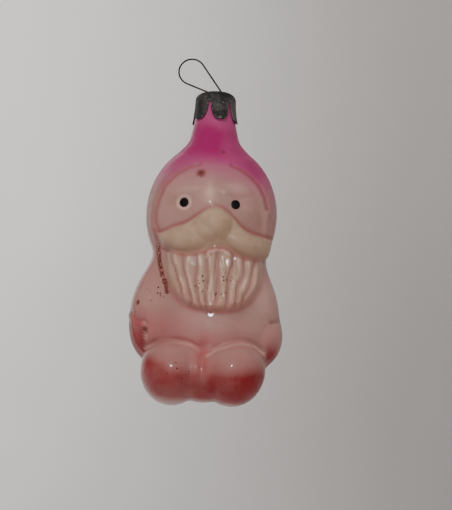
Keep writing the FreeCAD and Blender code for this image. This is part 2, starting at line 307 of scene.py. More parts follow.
def moustache_relief(x, z):
    inside = moustache_depth(x, z)
    body = 0.75 * smooth_step(-0.1, 0.8, inside) + 0.45 * smooth_step(0.6, 3.2, inside)
    lobes = pad(x, z, (-5.9, 40.3), (6.8, 3.6), 1.3, 4.0) + pad(x, z, (8.9, 39.6), (6.4, 3.4), 1.3, -10.0)
    nose = pad(x, z, (0.6, 44.4), (4.7, 4.8), 2.3)
    philtrum = -0.6 * bump(np.hypot((x - 2.0) * 0.8, (z - 39.2) * 1.1), 2.2)
    return body + (lobes + nose + philtrum) * smooth_step(0.0, 0.9, inside) - 0.42 * bump(inside + 0.30, 0.7)


def beard_relief(x, z):
    inside = beard_depth(x, z)
    clear = smooth_step(0.1, -0.8, moustache_depth(x, z))
    body = 1.15 * smooth_step(-0.01, 0.14, inside) ** 0.7
    height = 0.62 + 0.22 * np.sin(x * 1.9 + 0.5) * np.sin(z * 0.45 + x * 0.3)
    locks = height * (1.0 - (2.0 * from_ridge(x, z)) ** 2.0) * smooth_step(0.0, 0.12, inside) * clear
    fine = 0.08 * np.sin(x * 6.0 + 2.0 * np.sin(z * 0.7)) * np.sin(z * 0.5 + x) * clear
    return body + locks + fine + 0.35 * bump(off_line(x, z, LIP_ARCH), 0.8)


def body_relief(x, z):
    """Creases of the sleeves, mittens and knees."""
    cuffs = -0.45 * (bump(off_line(x, z, LEFT_CUFF), 0.8) + bump(off_line(x, z, RIGHT_CUFF), 0.7))
    cuffs = cuffs + 0.3 * bump(off_line(x, z + 1.3, LEFT_CUFF), 1.0)
    palm = -0.25 * bump(off_line(x, z, LEFT_PALM), 0.7) + 0.15 * bump(off_line(x + 0.8, z, LEFT_PALM), 0.8)
    knees = 0.0
    for arc in (LEFT_KNEE_ARC, RIGHT_KNEE_ARC):
        (first, _), (last, _) = arc[0], arc[-1]
        within = smooth_step(first - 1.5, first + 0.5, x) * smooth_step(last + 1.5, last - 0.5, x)
        below = curve_height(x, arc) - z
        step = 0.55 * smooth_step(-0.3, 1.0, below) * smooth_step(9.0, 3.0, below)
        knees = knees + (step - 0.3 * bump(below + 0.8, 0.9)) * within
    groove = -0.55 * bump(off_line(x, z, KNEE_GROOVE), 2.2)
    return cuffs + palm + knees + groove


def seam_relief(x, y, z):
    """Faint line left by the two halves of the mould, a little in front of the widest section."""
    return 0.16 * bump(y - BALANCE_Y + SEAM_FORWARD, 0.55) * smooth_step(70.0, 64.0, z)


def relief(x, y, z):
    front = smooth_step(0.0, 4.5, -y)
    sides = smooth_step(-1.5, 1.5, -y)
    hair = np.maximum(moustache_relief(x, z), beard_relief(x, z))
    under_moustache = smooth_step(-0.35, 0.25, moustache_depth(x, z))
    under_beard = smooth_step(-0.02, 0.05, beard_depth(x, z))
    covered = np.maximum(under_moustache, under_beard)
    head = face_relief(x, z) * (1.0 - covered) + hair * covered
    return head * front + body_relief(x, z) * smooth_step(38.0, 34.0, z) * sides + seam_relief(x, y, z)


def off_figure(x, y, z):
    off = off_neck(x, y, z)
    for centre, semi, lean, blend in MASSES:
        off = smooth_min(off, off_ellipsoid(x, y, z, centre, semi, lean), blend)
    return off - relief(x, y, z)


def skin_points(heights, dips, angles, depth):
    """Where rays from the axis meet the surface that lies depth inside the skin: rings x columns x 3."""
    level, sink = np.cos(dips)[:, None], -np.sin(dips)[:, None]
    dx, dy, dz = level * np.cos(angles), level * np.sin(angles), sink + 0.0 * angles
    base = heights[:, None]
    reach = np.full(dx.shape, RAY_START)
    for _ in range(RAY_STEPS):
        off = off_figure(dx * reach, dy * reach, base + dz * reach) + depth
        reach = np.maximum(reach - RAY_STRIDE * off, 0.2)
    return np.stack([dx * reach, dy * reach, base + dz * reach], -1)


def skin_grid(grid, depth):
    rings, fan, columns = grid
    heights = np.concatenate([np.linspace(RIM_Z, FAN_Z, rings, endpoint=False), np.full(fan, FAN_Z)])
    dips = np.concatenate([np.zeros(rings), np.linspace(0.0, math.radians(89.0), fan)])
    turn = np.linspace(-1.0, 1.0, columns, endpoint=False)
    angles = math.pi * (turn - FRONT_CROWDING * np.sin(math.pi * turn) / math.pi) - math.pi / 2.0
    return skin_points(heights, dips, angles, depth)


# ---------------------------------------------------------------- meshes

def to_row(points):
    """From the figure's frame in millimetres to the row frame in metres."""
    moved = np.asarray(points, float).reshape(-1, 3) * MM
    moved[:, 0] += HINGE.x
    moved[:, 1] += HINGE.y
    moved[:, 2] += HINGE.z - HINGE_Z * MM
    return moved


def figure_point(x, y, z):
    """A place in the figure's frame in millimetres, as a vector of the row frame."""
    return Vector(to_row([(x, y, z)])[0])


def new_object(name, points, faces):
    mesh = bpy.data.meshes.new(name)
    mesh.from_pydata([tuple(p) for p in to_row(points)], [], faces)
    mesh.validate()
    mesh.polygons.foreach_set("use_smooth", [True] * len(mesh.polygons))
    mesh.update()
    obj = bpy.data.objects.new(name, mesh)
    bpy.context.scene.collection.objects.link(obj)
    return obj


def grid_faces(rings, columns, first, inwards=False):
    faces = []
    for i in range(rings - 1):
        for j in range(columns):
            k = (j + 1) % columns
            face = (first + i * columns + j, first + (i + 1) * columns + j,
                    first + (i + 1) * columns + k, first + i * columns + k)
            faces.append(face[::-1] if inwards else face)
    return faces


def rim_faces(outer_columns, inner_columns, inner_first):
    """Joins two rings of different counts with a strip of triangles."""
    faces = []
    i = j = 0
    while i < outer_columns or j < inner_columns:
        a, b = i % outer_columns, inner_first + j % inner_columns
        if j >= inner_columns or (i < outer_columns and (i + 1) * inner_columns <= (j + 1) * outer_columns):
            faces.append((a, (i + 1) % outer_columns, b))
            i += 1
        else:
            faces.append((a, inner_first + (j + 1) % inner_columns, b))
            j += 1
    return faces


def add_mask(obj, name, values):
    layer = obj.data.attributes.new(name, "FLOAT", "POINT")
    layer.data.foreach_set("value", np.clip(values, 0.0, 1.0).astype(np.float32))


def make_glass():
    scale = 1
    outer_grid = tuple(n // scale for n in OUTER_GRID)
    outer, inner = skin_grid(outer_grid, 0.0), skin_grid(INNER_GRID, WALL)
    rings_out, columns_out = outer.shape[:2]
    rings_in, columns_in = inner.shape[:2]
    points = list(outer.reshape(-1, 3)) + list(inner.reshape(-1, 3))
    first_in = rings_out * columns_out
    faces = grid_faces(rings_out, columns_out, 0) + grid_faces(rings_in, columns_in, first_in, inwards=True)
    faces += rim_faces(columns_out, columns_in, first_in)
    faces.append(tuple((rings_out - 1) * columns_out + j for j in range(columns_out)))
    faces.append(tuple(first_in + (rings_in - 1) * columns_in + j for j in reversed(range(columns_in))))
    obj = new_object("Glass", points, faces)
    x, y, z = np.array(points).T
    for name, values in paint_masks(x, y, z).items():
        add_mask(obj, name, values)
    return obj


# ---------------------------------------------------------------- airbrushed colours, painted shade and painted highlights

def blob(x, z, centre, semi, turn=0.0):
    """A soft airbrushed patch."""
    off = 1.0 - ellipse_depth(x, z, centre, semi, turn)
    return np.exp(-off * off * 1.2)


def hood_paint(x, z, opening, front):
    """Magenta sprayed from above, which reaches further down at the right of the face."""
    edge = 59.4 - 0.34 * np.maximum(x, 0.0) - 0.16 * np.maximum(-x, 0.0)
    sprayed = smooth_step(-6.5, 4.5, z - edge)
    on_face = smooth_step(-0.3, 0.8, opening) * smooth_step(1.0, 6.0, np.abs(x))
    sprayed = sprayed * (1.0 - 0.4 * on_face * front)
    tail = 0.42 * smooth_step(8.0, 14.0, x) * smooth_step(42.0, 57.0, z) * smooth_step(0.5, -0.5, opening)
    return np.maximum(sprayed, tail)


def deep_paint(x, z):
    """The strongest magenta, round the foot of the neck and over both shoulders of the hood."""
    band = smooth_step(7.5, 2.0, np.abs(z - 66.5 + 0.1 * x))
    band = band * smooth_step(72.5, 69.0, z - 0.4 * np.maximum(-x, 0.0))
    band = band * (1.0 - 0.4 * smooth_step(0.5, 4.0, x))
    right = 0.9 * blob(x, z, (10.6, 60.4), (4.6, 3.6), -50.0)
    left = 0.45 * blob(x, z, (-8.6, 61.8), (4.4, 3.0), 40.0)
    return np.maximum.reduce([band, right, left])


def red_paint(x, z):
    """Dark red on the lower half of the knees and on the ends of the mittens."""
    line = 4.9 + 0.60 * np.maximum(-x - 8.5, 0.0) + 0.25 * np.maximum(x - 9.0, 0.0)
    pale_foot = smooth_step(0.2, 2.6 - 1.4 * smooth_step(-2.0, 4.0, x), z)
    between_knees = 0.45 * bump(x + 1.0, 2.4) * smooth_step(4.0, 7.0, z)
    knees = 1.3 * bump(z - line, np.where(z < line, 8.0, 5.0)) * pale_foot
    knees = np.minimum(knees, 0.88 + 0.12 * smooth_step(-3.0, 4.0, x)) * (1.0 - between_knees)
    left = 1.9 * blob(x, z, (-18.0, 13.6), (4.2, 5.2), 15.0) * smooth_step(-14.9, -15.5, x)
    right = 1.0 * blob(x, z, (16.2, 12.6), (3.2, 3.2)) * smooth_step(14.0, 15.0, x)
    return np.maximum(knees * smooth_step(14.2, 13.4, z), np.maximum(left, right))


# Centre, semi-axes and strength of each salmon patch
SALMON_PATCHES = (
    ((-14.5, 30.5), (4.0, 6.0), 0.35),      # left shoulder
    ((-12.5, 18.6), (8.0, 4.6), 0.75),      # under the left sleeve
    ((-18.5, 18.0), (3.5, 6.0), 0.7),       # left mitten
    ((15.5, 18.0), (3.0, 4.0), 0.2),        # right mitten
    ((3.0, 16.0), (12.0, 3.4), 0.5),        # over the knees
    ((-8.0, 9.5), (8.0, 3.5), 0.4),         # left knee
    ((7.5, 9.5), (8.0, 3.0), 0.4),          # right knee
    ((-1.0, 11.0), (2.6, 6.0), 0.7),        # between the knees
)


def salmon_paint(x, z):
    return sum(share * blob(x, z, centre, semi) for centre, semi, share in SALMON_PATCHES)


def pale_and_highlight_paint(x, z):
    """Pale paint: painted highlights on the nose bridge, the brows, the knee arcs and the edge of the left
    palm, and pale lines and patches along the lip arch, on the upper sleeves and round the left eye.
    """
    arcs = 0.7 * bump(off_line(x, z, RIGHT_KNEE_ARC), 0.5)
    arcs = np.maximum(arcs, 0.35 * bump(off_line(x, z, LEFT_KNEE_ARC), 0.5))
    palm = 0.6 * bump(off_line(x, z, LEFT_PALM), 0.45)
    ring = bump(np.hypot(x - EYES[0][0], z - EYES[0][1]) - 1.6, 0.55)
    bridge = 0.75 * blob(x, z, (-0.5, 52.0), (1.5, 2.6)) + 0.3 * blob(x, z, (-0.5, 50.5), (4.0, 3.5))
    brows = 0.35 * (blob(x, z, (-5.6, 52.8), (3.6, 1.2), 8.0) + blob(x, z, (6.0, 53.6), (3.4, 1.4), -4.0))
    lip = 0.5 * bump(off_line(x, z, LIP_ARCH), 0.5)
    sleeves = 0.25 * blob(x, z, (-14.5, 28.0), (4.0, 6.0)) + 0.4 * blob(x, z, (13.5, 27.5), (4.0, 7.0))
    return np.maximum.reduce([arcs, palm, ring, bridge, brows, lip, sleeves])


def beard_paint(x, z, inside, beard):
    """Painted shade in the beard's grooves, painted highlights along its ridges, and painted shade along its
    foot.
    """
    ridge = from_ridge(x, z)
    below = smooth_step(0.0, -0.4, inside)
    groove = smooth_step(0.14, 0.46, np.abs(ridge)) * smooth_step(0.0, 0.08, beard) * below
    ridge_highlight = bump(ridge + 0.10, 0.16) * smooth_step(0.1, 0.25, beard) * below
    foot = smooth_step(0.42, 0.0, beard) * (beard > -0.03) * smooth_step(33.0, 25.0, z) * below
    return groove, ridge_highlight, foot


def crease_shade_paint(x, z, inside, beard):
    """Painted shade in the creases: along the moustache, the hood's edge and the foot of the beard."""
    below = smooth_step(0.0, -0.4, inside)
    crease = np.maximum(bump(inside + 0.30, 0.62), 0.9 * bump(off_hood_edge(x, z), 0.75))
    return np.maximum(crease, 0.4 * bump(beard + 0.01, 0.08) * smooth_step(35.0, 30.0, z) * below)


def seam_shade(x, y, z):
    """Painted shade along the mould's seam, on the left only: a dark line that stands for the edge of the
    glass wall seen near the outline.
    """
    line = 0.4 * bump(y - BALANCE_Y + SEAM_FORWARD, 0.8)
    return line * smooth_step(66.0, 62.0, z) * smooth_step(0.0, -1.0, x)


def paint_masks(x, y, z):
    """Shares of each colour at each point of the skin."""
    front = smooth_step(-1.0, 3.0, -y)
    face_side = smooth_step(0.8, 1.8, -y)
    inside, opening, beard = moustache_depth(x, z), opening_depth(x, z), beard_depth(x, z)
    groove, ridge_highlight, foot = beard_paint(x, z, inside, beard)
    hair = np.maximum(smooth_step(-0.1, 0.35, inside), 0.85 * smooth_step(0.0, 0.06, beard))
    left_half = smooth_step(38.0, 46.0, z) * smooth_step(3.0, -3.0, x)
    # painted shade on the lower part of the nose and moustache, along its foot
    moustache_shade = smooth_step(2.4, 0.2, z - curve_height(x, MOUSTACHE_FOOT)) * smooth_step(-0.2, 0.3, inside)
    # painted shade in the creases at the cuffs
    cuffs = 0.7 * np.maximum(bump(off_line(x, z, RIGHT_CUFF), 0.6), bump(off_line(x, z, LEFT_CUFF), 0.7))
    crease_shade = crease_shade_paint(x, z, inside, beard)
    strip = smooth_step(0.75, 0.35, off_line(x, z, FLAKE_STRIP)) * smooth_step(0.1, -0.1, beard)
    return {
        # painted shade: the hood's left side, outside the face, made duller and darker
        "side": smooth_step(0.3, -1.5, opening) * left_half,
        "hood": hood_paint(x, z, opening, front),
        "deep": deep_paint(x, z),
        "cream": hair * face_side,
        # painted shade in the beard's grooves
        "groove": groove * front,
        # painted highlights streaked along the beard's ridges
        "ridge_highlight": ridge_highlight * front,
        # painted shade in the creases, at the cuffs and along the seam
        "shade": np.maximum.reduce([crease_shade * front, cuffs * face_side, seam_shade(x, y, z)]),
        # painted shade on the lower part of the moustache
        "moustache_shade": moustache_shade * front,
        # painted shade along the foot of the beard
        "foot": foot * front,
        # painted highlights, and pale lines and patches
        "pale": pale_and_highlight_paint(x, z) * front,
        "flake": strip * front,
        "red": red_paint(x, z),
        "salmon": salmon_paint(x, z),
    }


# ---------------------------------------------------------------- eyes

def disc_faces(rings, spokes, first, inwards):
    """Rings of quads, closed by a fan round the middle point, which comes after them."""
    faces = grid_faces(rings, spokes, first, inwards)
    middle = first + rings * spokes
    for j in range(spokes):
        face = (middle, first + j, first + (j + 1) % spokes)
        faces.append(face[::-1] if inwards else face)
    return faces


def make_eye(name, centre):
    """A drop of enamel that follows the glass."""
    share = np.linspace(0.0, 1.0, EYE_RINGS + 1)[1:]
    angle = np.linspace(0.0, 2.0 * math.pi, EYE_SPOKES, endpoint=False)
    x = centre[0] + EYE_R * share[:, None] * np.cos(angle)
    z = centre[1] + EYE_R * EYE_TALLER * share[:, None] * np.sin(angle)
    x = np.append(x.ravel(), centre[0])
    z = np.append(z.ravel(), centre[1])
    share = np.append(np.repeat(share, EYE_SPOKES), 0.0)
    y = front_of_skin(x, z)
    height = EYE_HEIGHT * np.sqrt(np.maximum(1.0 - share ** 2, 0.0))
    top = np.stack([x, y - height + EYE_EDGE_SUNK, z], -1)
    back = np.stack([x, y + EYE_BACK_SUNK, z], -1)
    faces = disc_faces(EYE_RINGS, EYE_SPOKES, 0, False) + disc_faces(EYE_RINGS, EYE_SPOKES, len(top), True)
    edge = (EYE_RINGS - 1) * EYE_SPOKES
    for j in range(EYE_SPOKES):
        k = (j + 1) % EYE_SPOKES
        faces.append((edge + j, len(top) + edge + j, len(top) + edge + k, edge + k))
    return new_object(name, np.concatenate([top, back]), faces)


def front_of_skin(x, z):
    """How far forward the skin is at points of the front plane."""
    y = np.full(x.shape, FRONT_START)
    for _ in range(FRONT_STEPS):
        y = y + FRONT_STRIDE * off_figure(x, y, z)
    return y


# ---------------------------------------------------------------- cap

def cap_profile():
    """Distance along the sheet from its centre, and the radius and height of its outside there."""
    side_z = np.linspace(CAP_TOP_Z - SHOULDER_R, PETAL_TIP_Z, SIDE_POINTS)
    side_r = neck_radius(np.minimum(side_z, RIM_Z)) + CAP_GAP + SHEET
    corner_r = side_r[0] - SHOULDER_R
    bend = np.radians(np.linspace(90.0, 0.0, BEND_POINTS))
    radius = np.concatenate([[0.0], corner_r + SHOULDER_R * np.cos(bend), side_r[1:]])
    height = np.concatenate([[CAP_TOP_Z], CAP_TOP_Z - SHOULDER_R + SHOULDER_R * np.sin(bend), side_z[1:]])
    along = np.concatenate([[0.0], np.cumsum(np.hypot(np.diff(radius), np.diff(height)))])
    return along, radius, height


def petal_outline(along, height):
    """Outline of the flat blank, as angle in degrees and distance from its centre."""
    tip = along[-1]
    slit = float(np.interp(-SLIT_TOP_Z, -height, along))
    skirt = neck_radius(PETAL_TIP_Z) + CAP_GAP + SHEET
    pitch = 360.0 / PETALS
    half = pitch / 2.0 - math.degrees(SLIT_HALF / skirt)
    outline = []
    for i in range(PETALS):
        middle = PETAL_TURN + i * pitch
        longer = PETAL_UNEVEN * math.sin(i * 2.3)
        for t in np.linspace(-1.0, 1.0, PETAL_POINTS):
            reach = slit + (tip - slit + longer) * (1.0 - abs(t) ** PETAL_SQUARENESS) ** 0.5
            outline.append((middle + t * half * (1.0 - PETAL_WAIST * (1.0 - abs(t) ** 6)), reach))
    return outline


def hole_outline(side):
    angles = np.linspace(0.0, 2.0 * math.pi, HOLE_POINTS, endpoint=False)
    return [(side * HOLE_X + HOLE_R * math.cos(a), HOLE_R * math.sin(a)) for a in angles]


def from_holes(x, y):
    """Distance in the flat from the middle of the nearer wire hole."""
    return min(math.hypot(x - side * HOLE_X, y) for side in (-1, 1))


def winds_round(point, outline):
    """Whether a point lies inside a closed outline."""
    x1, y1 = outline[:, 0], outline[:, 1]
    x2, y2 = np.roll(x1, -1), np.roll(y1, -1)
    crosses = (y1 > point[1]) != (y2 > point[1])
    at = x1 + (point[1] - y1) * (x2 - x1) / np.where(y2 == y1, 1e-9, y2 - y1)
    return bool(np.count_nonzero(crosses & (at > point[0])) % 2)


def fills_sheet(point, outline):
    """Whether a point lies in the metal, clear of its edges."""
    if from_holes(*point) < HOLE_R + HOLE_MARGIN:
        return False
    nearest = np.hypot(outline[:, 0] - point[0], outline[:, 1] - point[1]).min()
    return nearest > EDGE_MARGIN and winds_round(point, outline)


def filling_points(outline):
    """An even lattice of points inside the blank."""
    span = range(-LATTICE_HALF, LATTICE_HALF + 1)
    lattice = (((column + 0.5 * (row % 2)) * LATTICE_STEP, row * LATTICE_STEP * LATTICE_RISE)
               for row in span for column in span)
    return [point for point in lattice if fills_sheet(point, outline)]


def keep_triangle(tri, verts, outline):
    middle = sum((Vector(verts[i]) for i in tri), Vector((0.0, 0.0))) / len(tri)
    if from_holes(middle.x, middle.y) < HOLE_R * HOLE_CLEAR:
        return False
    return winds_round((middle.x, middle.y), outline)


def make_cap():
    """The stamped sheet, laid out flat, filled with triangles, then wrapped round the neck."""
    along, radius, height = cap_profile()
    border = [(reach * math.cos(math.radians(angle)), reach * math.sin(math.radians(angle)))
              for angle, reach in petal_outline(along, height)]
    outline = np.array(border)
    points, edges = [], []
    for ring in (border, hole_outline(-1), hole_outline(1)):
        first = len(points)
        points += ring
        edges += [(first + i, first + (i + 1) % len(ring)) for i in range(len(ring))]
    points += filling_points(outline)
    verts, _, tris, _, _, _ = delaunay_2d_cdt([Vector(p) for p in points], edges, [], 1, 1e-5)
    tris = [t for t in tris if keep_triangle(t, verts, outline)]
    flat_points = np.array([tuple(v) for v in verts])
    return wrap_sheet(flat_points, tris, along, radius, height)


def wrap_sheet(flat_points, tris, along, radius, height):
    """Wraps the flat sheet round the neck, dents it a little and gives it its thickness."""
    reach = np.hypot(flat_points[:, 0], flat_points[:, 1])
    angle = np.arctan2(flat_points[:, 1], flat_points[:, 0])
    beyond = np.maximum(reach - along[-1], 0.0)
    r = np.interp(reach, along, radius) + beyond * PETAL_OUT
    z = np.interp(reach, along, height) - beyond * PETAL_DOWN
    on_skirt = smooth_step(5.0, 8.0, reach)
    petal = np.cos(PETALS * (angle - math.radians(PETAL_TURN)))
    tip = smooth_step(8.5, 12.5, reach)
    r = r + on_skirt * (0.05 * np.sin(3.0 * angle + z * 0.9) ** 2) + tip * (0.10 + 0.10 * petal)
    dent = 0.10 * np.sin(angle * 2.0 + 1.0) * np.sin(reach * 0.9)
    dent = dent * smooth_step(1.0, 4.0, reach) * (1.0 - on_skirt)
    outer = np.stack([r * np.cos(angle), r * np.sin(angle), z + dent], -1)
    normals = vertex_normals(outer, tris)
    inner = outer - normals * SHEET * INNER_SHARE
    count = len(outer)
    faces = [tuple(t) for t in tris]
    faces += [tuple(i + count for i in reversed(t)) for t in tris]
    sides = [side for tri in tris for side in zip(tri, tri[1:] + tri[:1])]
    used = set(sides)
    faces += [(b, a, a + count, b + count) for a, b in sides if (b, a) not in used]
    return new_object("Cap", np.concatenate([outer, inner]), faces)


def vertex_normals(points, tris):
    tri = np.array(tris)
    cross = np.cross(points[tri[:, 1]] - points[tri[:, 0]], points[tri[:, 2]] - points[tri[:, 0]])
    normals = np.zeros_like(points)
    for corner in range(3):
        np.add.at(normals, tri[:, corner], cross)
    return normals / np.maximum(np.linalg.norm(normals, axis=1, keepdims=True), 1e-12)


# ---------------------------------------------------------------- materials

class Nodes:
    """A few short ways to add shader nodes."""

    def __init__(self, name):
        self.material = bpy.data.materials.new(name)
        self.material.use_nodes = True
        self.tree = self.material.node_tree
        self.tree.nodes.clear()
        output = self.tree.nodes.new("ShaderNodeOutputMaterial")
        self.shader = self.tree.nodes.new("ShaderNodeBsdfPrincipled")
        self.link(self.shader.outputs[0], output.inputs["Surface"])
        coords = self.tree.nodes.new("ShaderNodeTexCoord")
        self.place = coords.outputs["Object"]

    def link(self, source, target):
        self.tree.links.new(source, target)

    def set(self, **values):
        for name, value in values.items():
            self.shader.inputs[name.replace("_", " ")].default_value = value

    def drive(self, name, source):
        self.link(source, self.shader.inputs[name])

    def mask(self, name):
        node = self.tree.nodes.new("ShaderNodeAttribute")
        node.attribute_name = name
        return node.outputs["Fac"]

    def noise(self, scale, detail=3.0, rough=0.55):
        node = self.tree.nodes.new("ShaderNodeTexNoise")
        node.inputs["Scale"].default_value = scale
        node.inputs["Detail"].default_value = detail
        node.inputs["Roughness"].default_value = rough
        self.link(self.place, node.inputs["Vector"])
        return node.outputs[0]

    def cells(self, scale):
        node = self.tree.nodes.new("ShaderNodeTexVoronoi")
        node.inputs["Scale"].default_value = scale
        self.link(self.place, node.inputs["Vector"])
        return node.outputs["Distance"]

    def between(self, value, low, high, to_low=0.0, to_high=1.0):
        """A value eased from to_low to to_high as it passes from low to high."""
        node = self.tree.nodes.new("ShaderNodeMapRange")
        node.interpolation_type = "SMOOTHSTEP"
        self.link(value, node.inputs["Value"])
        for name, number in (("From Min", low), ("From Max", high), ("To Min", to_low), ("To Max", to_high)):
            node.inputs[name].default_value = number
        return node.outputs[0]

    def math(self, operation, a, b):
        node = self.tree.nodes.new("ShaderNodeMath")
        node.operation = operation
        for socket, value in zip(node.inputs, (a, b)):
            if isinstance(value, (int, float)):
                socket.default_value = value
            else:
                self.link(value, socket)
        return node.outputs[0]

    def mix(self, share, a, b):
        """Colour a where share is 0, colour b where it is 1."""
        node = self.tree.nodes.new("ShaderNodeMix")
        node.data_type = "RGBA"
        for socket, value in ((node.inputs["Factor"], share), (node.inputs[6], a), (node.inputs[7], b)):
            if isinstance(value, (int, float)):
                socket.default_value = value
            elif isinstance(value, tuple):
                socket.default_value = (*value, 1.0)
            else:
                self.link(value, socket)
        return node.outputs[2]

    def near(self, centre, size):
        """1 close to a place on the figure, fading to 0 at size millimetres from it."""
        node = self.tree.nodes.new("ShaderNodeVectorMath")
        node.operation = "DISTANCE"
        self.link(self.place, node.inputs[0])
        node.inputs[1].default_value = figure_point(*centre)
        return self.between(node.outputs["Value"], size * MM, size * MM * FLAKE_CORE)

    def bump(self, height, distance, strength):
        node = self.tree.nodes.new("ShaderNodeBump")
        node.inputs["Strength"].default_value = strength
        node.inputs["Distance"].default_value = distance
        self.link(height, node.inputs["Height"])
        return node.outputs[0]


def linear(red, green, blue):
    """An 8-bit display colour as scene-linear values."""
    shares = (v / 255.0 for v in (red, green, blue))
    return tuple(((v + 0.055) / 1.055) ** 2.4 if v > 0.04 else v / 12.92 for v in shares)


FACE = linear(163, 121, 114)
FACE_DULL = linear(150, 113, 105)
# painted shade on the hood's left side
HOOD_SIDE_SHADE = linear(134, 94, 88)
HOOD = linear(158, 60, 105)
HOOD_DEEP = linear(142, 24, 83)
CREAM = linear(170, 139, 117)
CREAM_YELLOW = linear(150, 124, 98)
# painted shade on the lower part of the moustache
CREAM_SHADE = linear(140, 100, 84)
# painted shade in the beard's grooves
GROOVE = linear(147, 104, 100)
# painted shade in the creases
CREASE_SHADE = linear(136, 66, 68)
SALMON = linear(156, 80, 81)
RED = linear(125, 22, 28)
# painted highlights, and pale lines, patches and a ring round the left eye
PALE = linear(200, 162, 148)
FLAKE = linear(96, 44, 34)
SPECK = linear(80, 24, 22)

# Pairs of colours that a material drifts between, and single ones laid over them, in scene-linear values
ENAMEL = ((0.001, 0.001, 0.001), (0.004, 0.002, 0.002))
TIN = ((0.024, 0.022, 0.021), (0.070, 0.064, 0.060))
TIN_WORN = (0.22, 0.21, 0.20)
# painted sheen on the cap's front right petal
TIN_PAINTED_SHEEN = (0.17, 0.14, 0.135)
STEEL = ((0.015, 0.014, 0.013), (0.06, 0.045, 0.035))
# the paper's lit colour, and the painted shade it greys to towards the right
PAPER = ((0.98, 0.95, 0.94), (0.38, 0.355, 0.34))
PAPER_CLOUD = (0.50, 0.48, 0.46)

# Where the paper's painted shade and glow change, in metres of the row frame
PAPER_X = (-0.20, 0.17)         # where its painted shade begins, and where it is darkest
PAPER_Z = (-0.12, 0.20)         # begins to glow more, and glows most
PAPER_GLOW = (0.23, 0.42)

# Places where the lacquer has come off, how far each reaches, and the share of that reach that is fully bare
FLAKE_CORE = 0.35
FLAKES = (
    ((2.6, -8.6, 63.5), 1.2),       # hood
    ((-3.0, -11.2, 57.4), 1.9),     # forehead
    ((-11.0, -7.6, 30.4), 1.1),     # left sleeve
    ((-17.6, -4.4, 25.2), 1.0),
    ((-19.7, -1.0, 22.3), 2.2),     # outer edge of the left mitten
    ((-19.6, -1.0, 19.3), 2.0),
    ((-15.6, -5.8, 18.3), 1.5),     # left mitten
    ((-7.5, -13.3, 7.8), 0.9),      # left knee
    ((-4.4, -13.4, 7.4), 0.8),
)

# Places where it is pitted with specks
SPECKLED = (
    ((1.0, -10.0, 30.0), 8.0),      # beard
    ((-13.5, -5.5, 28.0), 5.5),     # left sleeve
    ((-17.3, -4.6, 24.0), 3.0),
    ((-7.0, -13.0, 8.0), 5.0),      # left knee
)
TIN_SHEEN_PLACE = ((6.2, -3.2, 75.5), 4.5)     # painted sheen on the cap's petal at the front right, which catches the light


def lacquer_colour(n):
    """The airbrushed coats and the painted shade and highlights, one over the other: where each lies, how
    thick it is, and its colour.
    """
    cloud = n.noise(160.0, 4.0)
    drift = n.between(cloud, 0.3, 0.7, 0.8, 1.1)
    blotch = n.math("MULTIPLY", n.between(n.noise(330.0, 3.0), 0.35, 0.65), 0.5)
    coats = (
        # painted shade over the hood's left side
        ("side", 0.7, HOOD_SIDE_SHADE),
        ("salmon", drift, SALMON),
        ("hood", n.between(cloud, 0.2, 0.8, 0.9, 1.1), HOOD),
        ("deep", drift, HOOD_DEEP),
        ("cream", 1.0, n.mix(blotch, CREAM, CREAM_YELLOW)),
        # painted shade on the lower part of the moustache
        ("moustache_shade", 0.8, CREAM_SHADE),
        # painted shade in the beard's grooves
        ("groove", 0.75, GROOVE),
        # painted highlights streaked along the beard's ridges
        ("ridge_highlight", n.between(n.noise(380.0, 2.0), 0.4, 0.62, 0.15, 1.0), PALE),
        # painted shade along the foot of the beard, in the salmon colour
        ("foot", 0.4, SALMON),
        # painted shade in the creases, at the cuffs and along the seam
        ("shade", 0.65, CREASE_SHADE),
        ("red", drift, RED),
        # painted highlights, and pale lines and patches
        ("pale", 0.7, PALE),
    )
    colour = n.mix(n.between(n.noise(110.0), 0.35, 0.65), FACE, FACE_DULL)
    for mask, thickness, paint in coats:
        colour = n.mix(n.math("MULTIPLY", n.mask(mask), thickness), colour, paint)
    return colour


def worn_colour(n, colour):
    """Flaked patches and small pits in the lacquer."""
    ragged = n.between(n.noise(1100.0, 5.0, 0.7), 0.40, 0.47)
    bare = [n.mask("flake")] + [n.near(centre, size) for centre, size in FLAKES]
    for place in bare:
        colour = n.mix(n.math("MULTIPLY", place, ragged), colour, FLAKE)
    specks = n.between(n.cells(1100.0), 0.34, 0.22)
    pitted = n.between(n.noise(420.0, 2.0), 0.50, 0.56)
    pits = n.math("MULTIPLY", specks, pitted)
    for centre, size in SPECKLED:
        colour = n.mix(n.math("MULTIPLY", pits, n.near(centre, size)), colour, SPECK)
    return colour


def glass_material():
    n = Nodes("lacquered_glass")
    n.drive("Base Color", worn_colour(n, lacquer_colour(n)))
    n.drive("Roughness", n.between(n.noise(400.0), 0.3, 0.7, 0.38, 0.5))
    n.set(Specular_IOR_Level=0.12, Coat_Weight=0.5, Coat_Roughness=0.035, Coat_IOR=1.42)
    n.drive("Normal", n.bump(n.noise(260.0, 2.0), 0.00012, 0.5))
    return n.material


def enamel_material():
    n = Nodes("eye_enamel")
    n.drive("Base Color", n.mix(n.between(n.noise(1500.0), 0.3, 0.7), *ENAMEL))
    n.set(Roughness=0.5, Specular_IOR_Level=0.15)
    return n.material


